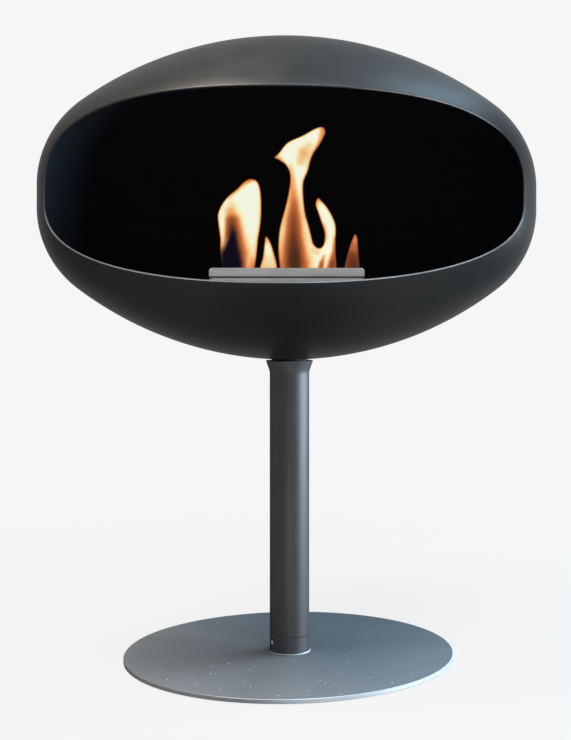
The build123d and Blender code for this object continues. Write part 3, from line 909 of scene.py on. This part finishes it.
def make_lid():
    rows = lid_rows()
    columns = np.linspace(-1, 1, LID_COLUMNS)
    points = [(share * lid_half_width(y, z), y, z) for y, z in rows for share in columns]
    corners = [r * LID_COLUMNS + c for r in range(len(rows) - 1) for c in range(LID_COLUMNS - 1)]
    faces = [(c, c + 1, c + LID_COLUMNS + 1, c + LID_COLUMNS) for c in corners]
    mesh = bpy.data.meshes.new("lid_sheet")
    mesh.from_pydata(points, [], faces)
    lid = new_object("lid_sheet", mesh)
    mesh.materials.append(STAINLESS)
    mesh.shade_smooth()
    sheet = lid.modifiers.new("sheet", "SOLIDIFY")
    sheet.thickness = LID_SHEET
    sheet.offset = 0
    soften(lid, 0.3 * MM, 50)
    bake(lid)
    return finish_piece(lid, "lid", "stainless", "snuffer_lid")


print_box(make_lid())


# %% [markdown]
# ## Ceramic wool and mat
# The tank is filled with ceramic wool, which soaks up the fuel so that it can't spill, and it stands on a
# thin ceramic mat. Both are soft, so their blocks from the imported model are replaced: the sides pull in
# and the top is lumpy. A cloth simulation isn't needed for a filling that hardly moves.

# %% Finish and pieces: ceramic wool
LUMP_SEED = 7
LUMP_WAVES = 6
LUMPS_ACROSS, LUMPS_ALONG, LUMP_SHIFT = (210, 90), (230, 70), 150


def wool_finish():
    material, tree, shader = new_finish("ceramic_wool", Specular_IOR_Level=0.15, Sheen_Weight=0.25)
    fibre = noise(tree, 700.0, 6.0, 0.75, drawn_out(tree, (1, 0.25, 1)))
    white = mix_colours(tree, noise(tree, 45.0, 4.0), (0.62, 0.60, 0.56), (0.80, 0.79, 0.76))
    link(tree, shader,
         Base_Color=mix_colours(tree, fibre.step(0.55, 0.8, 0.0, 0.5), white, (0.40, 0.36, 0.31)),
         Roughness=fibre * 0.1 + 0.85,
         Normal=bump(tree, fibre, 0.4 * MM, 0.8))
    return material


def lump_at(x, y, waves):
    """A smooth wave pattern from -1 to 1 over a block's top."""
    return sum(math.sin((LUMPS_ACROSS[0] + LUMPS_ACROSS[1] * i) * x + a)
               * math.sin((LUMPS_ALONG[0] + LUMPS_ALONG[1] * i) * y + b) * math.sin(LUMP_SHIFT * i + c)
               for i, (a, b, c) in enumerate(waves)) / len(waves)


def soft_block(name, node, corner, lumps, cuts):
    """A lumpy block with round upright corners, inside the box of the node that it stands for."""
    low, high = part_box(node)
    middle, half = (low + high) / 2, (high - low) / 2
    block = bmesh.new()
    bmesh.ops.create_cube(block, size=2.0)
    bmesh.ops.subdivide_edges(block, edges=block.edges[:], cuts=cuts, use_grid_fill=True)
    waves = np.random.default_rng(LUMP_SEED).uniform(0, 2 * math.pi, (LUMP_WAVES, 3))
    for vert in block.verts:
        x, y = vert.co.x * half.x, vert.co.y * half.y
        past = Vector((max(0.0, abs(x) - half.x + corner), max(0.0, abs(y) - half.y + corner)))
        if past.length > corner:
            past *= corner / past.length
        if past.x > 0 and past.y > 0:
            x = math.copysign(half.x - corner + past.x, x)
            y = math.copysign(half.y - corner + past.y, y)
        sink = lumps * (0.5 - 0.5 * lump_at(x, y, waves))
        z = vert.co.z * (half.z - (sink if vert.co.z > 0 else 0.0))
        pull = 1 - 0.15 * lumps / half.x * (1 - vert.co.z ** 2)
        vert.co = (middle.x + x * pull, middle.y + y * pull, middle.z + z)
    mesh = bpy.data.meshes.new(name)
    block.to_mesh(mesh)
    block.free()
    mesh.shade_smooth()
    mesh.materials.append(WOOL)
    obj = new_object(name, mesh)
    soften(obj, 0.8 * MM, 60)
    bake(obj)
    finish_piece(obj, "burner", "ceramic_fibre", node)
    return obj


WOOL = wool_finish()
soft_block("wool_filling", "fibre_filling", 2.5 * MM, 2.0 * MM, 48)
soft_block("wool_mat", "tank_blanket", 5.0 * MM, 0.5 * MM, 32)


# %% [markdown]
# ## The flames
# A flame is glowing gas: pale yellow and nearly solid where soot burns, orange along its edge, brown in
# its cool heart, and clear dark blue at the foot of a spirit fire. A volume shader could draw it, but it
# can't be kept in a mesh. So each flame is a closed skin: its outline was drawn after the photograph,
# filled with points and blown up to a round section, as a balloon of that outline would be.
# The skin's points carry three numbers, for how cool, how blue and how solid it is there.

# %% Outlines and strokes of the flames, in millimetres
# Each outline is a list of (x, z) and runs from the left foot over the tips to the right foot. A stroke is
# a list of (x, z, radius, amount), painted softly from one spot to the next. Cool strokes are laid first,
# pale ones over them, and blue ones last. The values after the flames are the grid's step, how far in from
# the edge a flame is faint and warm, how much of a soap film's bulge it has, in how many rounds the film
# settles, and how far apart the rows of a grid of equal triangles are.
FLAMES = {
    "flame_left": {
        "depth": 34,
        "outline": [
            (-84, 457), (-86, 477), (-88, 497), (-88, 511), (-90, 527), (-91, 542), (-86, 554), (-78, 565),
            (-67, 574), (-58, 583), (-49, 587), (-41, 583), (-37, 571), (-36, 551), (-37, 531), (-40, 511),
            (-42, 491), (-44, 477), (-47, 457)],
        "cool": [
            [(-72, 553, 9, 0.22), (-73, 543, 12, 0.45), (-72, 532, 14, 0.88), (-71, 518, 16, 1.0),
             (-70, 504, 19, 1.0), (-69, 491, 22, 1.0), (-69, 478, 22, 1.0), (-69, 462, 22, 1.0)],
            [(-76, 566, 7, 0.34), (-64, 576, 6, 0.34), (-48, 586, 5, 0.48)],
            [(-49, 494, 4, 0.22), (-48, 480, 7, 0.45), (-49, 466, 9, 0.6)]],
        "pale": [
            [(-86, 541, 6, 0.75), (-85, 527, 5.5, 0.8), (-84.5, 516, 5, 0.6), (-84, 504, 5, 0.36),
             (-83, 495, 4, 0.0)]],
        "blue": [
            [(-72, 528, 5, 0.35), (-72, 516, 8, 0.75), (-73, 505, 11, 1.0), (-75, 491, 18, 1.0),
             (-74, 478, 21, 1.0), (-73, 462, 22, 1.0)]],
    },
    "flame_small": {
        "depth": 54,
        "outline": [
            (-41, 457), (-40, 475), (-36, 490), (-34, 507), (-32, 517), (-26, 509), (-21, 494), (-17, 476),
            (-18, 457)],
        "cool": [
            [(-32, 517, 4, 0.4), (-30, 507, 4, 0.12)],
            [(-29, 485, 13, 0.22), (-29, 466, 18, 0.45)]],
        "pale": [],
        "blue": [],
    },
    "flame_middle": {
        "depth": 40,
        "outline": [
            (-12, 457), (-14, 476), (-16, 498), (-15, 518), (-12, 534), (-7, 552), (-3, 570), (-1, 585),
            (-2, 596), (-7, 605), (-14, 610), (-21, 614), (-15, 620), (-4, 633), (15, 642), (29, 650),
            (37, 653), (42, 652), (44, 647), (42, 640), (36, 629), (29, 619), (25, 609), (22, 597),
            (17, 585), (16, 574), (17, 558), (19, 543), (23, 529), (26, 517), (29, 506), (34, 501),
            (39, 502), (42, 509), (42, 520), (38, 533), (34, 545), (31, 554), (32, 561), (35, 564),
            (39, 560), (46, 552), (53, 540), (57, 528), (57, 511), (57, 495), (58, 476), (56, 457)],
        "cool": [
            [(1, 604, 4, 0.2), (3, 590, 5, 0.3), (4, 568, 8, 0.48), (4.5, 554, 10, 0.66),
             (4.3, 536, 14, 0.82), (4.4, 517, 16, 0.91), (4.6, 498, 20, 0.98), (5.3, 480, 24, 1.0),
             (5.3, 462, 25, 1.0)],
            [(13, 608, 9, 0.32), (17, 618, 11, 0.4), (24, 628, 8, 0.26)],
            [(41, 651, 6, 0.42), (38, 636, 5, 0.36), (30, 620, 5, 0.3)],
            [(-20, 614, 7, 0.42), (-12, 613, 5, 0.2)],
            [(35, 564, 5, 0.42), (35, 556, 5, 0.2)],
            [(42, 528, 5, 0.26), (44, 514, 6, 0.22)],
            [(21, 497, 7, 0.22), (33, 494, 6, 0.28)],
            [(42, 490, 3, 0.4), (39, 480, 5, 0.7), (36, 464, 6, 0.85)],
            [(56, 512, 4, 0.36), (55, 496, 5, 0.56), (53, 482, 8, 0.86), (50, 464, 11, 0.97)]],
        "pale": [],
        "blue": [],
    },
    "flame_right": {
        "depth": 30,
        "outline": [
            (66, 457), (67, 475), (70, 489), (74, 503), (79, 516), (81, 518), (84, 513), (85, 500),
            (86, 488), (87, 475), (87, 457)],
        "cool": [
            [(82, 519, 12, 0.36), (80.5, 510, 13, 0.44), (79, 499, 17, 0.66), (78, 488, 22, 0.9),
             (78, 479, 24, 0.97), (78, 462, 24, 1.0)]],
        "pale": [],
        "blue": [
            [(80, 470, 14, 0.0), (80, 457, 18, 0.7)]],
    },
}
SKIN_STEP = 1.5
EDGE_FADE = 1.9
EDGE_WARM = 1.7
BULGE = 0.8
FILM_ROUNDS = 2500
TRIANGLE_ROW = 0.866


# %% Fill an outline and blow it up
def smooth_loop(points, step):
    """The outline as a smooth closed line with points about one step apart."""
    loop = np.array(points, float)
    count = len(loop)
    found = []
    for i in range(count):
        before, start, end, after = (loop[(i + k) % count] for k in (-1, 0, 1, 2))
        pieces = max(1, round(np.linalg.norm(end - start) / step))
        for t in np.arange(pieces) / pieces:
            square, cube = 2 * before - 5 * start + 4 * end - after, 3 * start - before - 3 * end + after
            found.append(0.5 * (2 * start + (end - before) * t + square * t ** 2 + cube * t ** 3))
    return np.array(found)


def away_from_loop(points, loop):
    """Each point's distance to the nearest run of the loop."""
    start, run = loop, np.roll(loop, -1, axis=0) - loop
    gap = points[:, None] - start[None]
    share = np.clip((gap * run).sum(2) / (run * run).sum(1), 0, 1)
    return np.linalg.norm(gap - share[..., None] * run, axis=2).min(1)


def fill_loop(loop, step):
    """Points inside the loop on a triangular grid, with the triangles that join them to its edge."""
    low, high = loop.min(0), loop.max(0)
    rows = np.arange(low[1], high[1], step * TRIANGLE_ROW)
    grid = np.array([(x + (i % 2) * step / 2, z)
                     for i, z in enumerate(rows) for x in np.arange(low[0], high[0], step)])
    inside = grid[away_from_loop(grid, loop) > step * 0.6]
    points = [Vector(p) for p in np.vstack([loop, inside])]
    edges = [(i, (i + 1) % len(loop)) for i in range(len(loop))]
    flat, _, faces, _, _, _ = delaunay_2d_cdt(points, edges, [], 1, 1e-5)
    used = sorted({v for face in faces for v in face})
    number = {v: i for i, v in enumerate(used)}
    return np.array([flat[v] for v in used]), [[number[v] for v in face] for face in faces]


def swell_of(points, faces, rim):
    """Half the thickness at each point: what a soap film under pressure over the outline would take."""
    pairs = np.array([(f[i], f[(i + 1) % 3]) for f in faces for i in range(3)])
    pairs = np.unique(np.sort(pairs, axis=1), axis=0)
    both = np.vstack([pairs, pairs[:, ::-1]])
    neighbours = np.bincount(both[:, 0], minlength=len(points))
    length = np.linalg.norm(points[pairs[:, 0]] - points[pairs[:, 1]], axis=1).mean()
    film = np.zeros(len(points))
    for _ in range(FILM_ROUNDS):
        film = np.bincount(both[:, 0], film[both[:, 1]], len(points)) / neighbours + 0.5 * length ** 2
        film[rim] = 0.0
    return np.sqrt(film)


def paint(points, strokes):
    """How much of the soft strokes falls on each point, from 0 to 1."""
    most = np.zeros(len(points))
    for stroke in strokes:
        for first, last in zip(stroke, stroke[1:]):
            start, run = np.array(first[:2]), np.subtract(last[:2], first[:2])
            share = np.clip((points - start) @ run / (run @ run), 0, 1)
            away = np.linalg.norm(points - start - share[:, None] * run, axis=1)
            radius = first[2] + (last[2] - first[2]) * share
            amount = first[3] + (last[3] - first[3]) * share
            most = np.maximum(most, amount * np.exp(-0.5 * (away / (0.6 * radius)) ** 2.4))
    return most


def make_flame(name, depth, outline, cool, pale, blue):
    loop = smooth_loop(outline, SKIN_STEP)
    points, faces = fill_loop(loop, SKIN_STEP)
    edge = away_from_loop(points, loop)
    rim = edge < 0.01
    thickness = swell_of(points, faces, rim) * BULGE
    back_number = np.where(rim, np.arange(len(points)), len(points) + np.cumsum(~rim) - 1)
    front = np.column_stack([points[:, 0], depth - thickness, points[:, 1]])
    back = np.column_stack([points[:, 0], depth + thickness, points[:, 1]])[~rim]
    skin = [tuple(f) for f in faces] + [tuple(int(back_number[v]) for v in reversed(f)) for f in faces]
    mesh = bpy.data.meshes.new(name)
    mesh.from_pydata((np.vstack([front, back]) * MM).tolist(), [], skin)
    warmth = paint(points, cool) * (1 - paint(points, pale))
    warmth = 1 - (1 - warmth) * (1 - 0.85 * np.exp(-edge / EDGE_WARM))
    clear = paint(points, blue)
    solid = np.clip(edge / EDGE_FADE, 0, 1) ** 1.3
    for label, values in (("cool", warmth), ("blue", clear), ("solid", solid)):
        numbers = np.concatenate([values, values[~rim]]).astype(np.float32)
        mesh.attributes.new(label, "FLOAT", "POINT").data.foreach_set("value", numbers)
    mesh.shade_smooth()
    mesh.materials.append(FLAME)
    flame = new_object(name, mesh)
    closed = bmesh.new()
    closed.from_mesh(mesh)
    bmesh.ops.recalc_face_normals(closed, faces=closed.faces)
    closed.to_mesh(mesh)
    closed.free()
    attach(flame, "burner")
    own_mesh(flame)
    print(name, len(mesh.polygons), "faces, thickest", round(2 * thickness.max(), 1), "mm")
    return flame


# %% [markdown]
# The flame's material glows and has no gloss. One ramp turns the number for coolness into white, yellow,
# orange and brown. The blue number darkens the glow and makes it clear, and the solid number lets the
# edge fade out.

# %% Finish: flame
def flame_finish():
    material, tree, shader = new_finish(
        "flame", Base_Color=(0, 0, 0, 1), Roughness=1.0, Specular_IOR_Level=0.0, Emission_Strength=1.0)
    cool, blue, solid = (Field(tree, place(tree, "ShaderNodeAttribute", attribute_name=label).outputs["Fac"])
                         for label in ("cool", "blue", "solid"))
    flicker = noise(tree, 90.0, where=drawn_out(tree, (1, 1, 0.35))) - 0.5
    ramp = place(tree, "ShaderNodeValToRGB", {0: cool + flicker * 0.12})
    stops = [(0.0, (0.905, 0.905, 0.78)), (0.12, (0.90, 0.89, 0.58)), (0.30, (0.88, 0.60, 0.28)),
             (0.45, (0.85, 0.33, 0.11)), (0.62, (0.54, 0.15, 0.048)), (0.80, (0.30, 0.082, 0.026)),
             (0.92, (0.15, 0.040, 0.015)), (1.0, (0.080, 0.023, 0.011))]
    band = ramp.color_ramp
    band.elements[0].position, band.elements[0].color = stops[0][0], (*stops[0][1], 1)
    band.elements[1].position, band.elements[1].color = stops[-1][0], (*stops[-1][1], 1)
    for position, colour in stops[1:-1]:
        band.elements.new(position).color = (*colour, 1)
    glow = mix_colours(tree, blue.step(0.15, 0.75), ramp, (0.008, 0.007, 0.018))
    link(tree, shader,
         Emission_Color=glow,
         Alpha=solid * blue.step(0.2, 0.95, 0.97, 0.30))
    return material


FLAME = flame_finish()
for name, drawn in FLAMES.items():
    make_flame(name, **drawn)


# %% [markdown]
# ## Dust on the plate
# The photograph shows bright grains of dust on the plate, and a fine patch at its front left. Points
# scattered on a flat disc carry small grains. The larger grains lie where the photograph has them: these
# start as the points of a plain mesh, and the tree adds them to its own.

# %% Dust grains
LARGE_GRAINS = [
    (-87, -71), (26, -172), (62, -182), (120, -142), (-69, -59), (-87, -100), (-43, -84), (95, -119),
    (39, -131), (45, -142), (70, -59), (145, -104), (29, -76), (-98, -142), (-70, -164), (-133, -123),
    (-38, -150), (-5, -186)]


def dust_finish():
    material, tree, shader = new_finish("dust_grain", Specular_IOR_Level=0.3)
    tone = noise(tree, 400.0)
    link(tree, shader,
         Base_Color=mix_colours(tree, tone, (0.42, 0.41, 0.39), (0.85, 0.85, 0.84)),
         Roughness=tone * 0.2 + 0.6,
         Normal=bump(tree, noise(tree, 2500.0), 0.1 * MM, 0.8))
    return material


def dust_tree():
    tree, given = new_tree("settled_grains", {
        "Level": PLATE_TOP, "Inner radius": 30 * MM, "Outer radius": 196 * MM, "Density": 2600.0, "Seed": 5,
        "Patch x": -95 * MM, "Patch y": -135 * MM, "Patch radius": 75 * MM, "Patch share": 2.5,
        "Smallest": 0.12 * MM, "Largest": 0.34 * MM, "Large grain": 0.45 * MM, "Dust": DUST_GRAIN})
    disc = place(tree, "GeometryNodeMeshCircle", {"Vertices": 128, "Radius": given["Outer radius"]},
                 fill_type="TRIANGLE_FAN")
    lift = place(tree, "ShaderNodeCombineXYZ", {2: given["Level"]})
    top = place(tree, "GeometryNodeTransform", {"Geometry": disc, "Translation": lift})
    where = place(tree, "GeometryNodeInputPosition")
    x, y, _ = axes(tree, where)
    aside, ahead = x - given["Patch x"], y - given["Patch y"]
    near = (aside * aside + ahead * ahead).root().step(0.0, given["Patch radius"], given["Patch share"], 0.0)
    density = (noise(tree, 14.0, 3.0, where=where).step(0.42, 0.72, 0.12, 1.0) + near) * given["Density"]
    scattered = place(tree, "GeometryNodeDistributePointsOnFaces", {
        "Mesh": top, "Density": density, "Seed": given["Seed"]})
    away = (x * x + y * y).root()
    kept = place(tree, "GeometryNodeDeleteGeometry", {
        "Geometry": scattered, "Selection": away.math("LESS_THAN", given["Inner radius"])}, domain="POINT")
    by_hand = place(tree, "GeometryNodeMeshToPoints", {"Mesh": given["Start"]})
    grain = place(tree, "GeometryNodeMeshIcoSphere", {"Radius": 1.0, "Subdivisions": 1})
    spin = place(tree, "FunctionNodeRandomValue", {1: (6.28, 6.28, 6.28), 8: given["Seed"]},
                 data_type="FLOAT_VECTOR")
    size = place(tree, "FunctionNodeRandomValue", {
        2: given["Smallest"], 3: given["Largest"], 8: given["Seed"]}, data_type="FLOAT")
    small = place(tree, "GeometryNodeInstanceOnPoints", {
        "Points": kept, "Instance": grain, "Rotation": spin, "Scale": size.outputs[1]})
    large = place(tree, "GeometryNodeInstanceOnPoints", {
        "Points": by_hand, "Instance": grain, "Rotation": spin, "Scale": given["Large grain"]})
    both = place(tree, "GeometryNodeJoinGeometry")
    for grains in (large, small):
        tree.links.new(source_of(grains), both.inputs[0])
    end_tree(tree, both, given["Dust"])
    return tree


DUST_GRAIN = dust_finish()
start = bpy.data.meshes.new("large_grains")
start.from_pydata([(x * MM, y * MM, PLATE_TOP) for x, y in LARGE_GRAINS], [], [])
dust = bake(grow("dust_on_plate", dust_tree(), start))
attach(dust, "stand")


# %% [markdown]
# ## The parts kept from the imported model
# Everything else already has its right shape: plate, pole, sleeve, swivel, cradle and burner. Each node
# takes the finish of its slot in the record. Some differ: the plate has its own paler coat, which is painted
# reflection, and the burner's top and mesh have heat colours. The boss under the bowl is as black as the
# inside, and the thrust washer is a near black greased bronze: both are painted shade, so that the gap
# between the collar and the bowl reads as a dark line.

# %% Finishes of the kept nodes
FINISH_OF_SLOT = {
    "body_coat": SOOT, "stand_coat": STAND_COAT, "stainless": STAINLESS, "turned_steel": TURNED,
    "zinc_steel": ZINC, "bronze": BRONZE, "rubber": RUBBER, "ceramic_fibre": WOOL,
}
# The boss and the washer are made near black as painted shade of the gap under the bowl.
FINISH_OF_NODE = {
    "base_plate": PLATE_COAT_PAINTED_REFLECTION, "burner_top": TINTED, "mesh_screen": TINTED, "bowl_boss": SOOT,
    "thrust_washer": GREASE_AND_GAP_SHADE,
}
for part in frame["record"]["subparts"]:
    node = nodes[part["node"]]
    node.data.materials.clear()
    node.data.materials.append(FINISH_OF_NODE.get(part["node"], FINISH_OF_SLOT[part["material_slot"]]))
print("finished", len(nodes), "nodes")
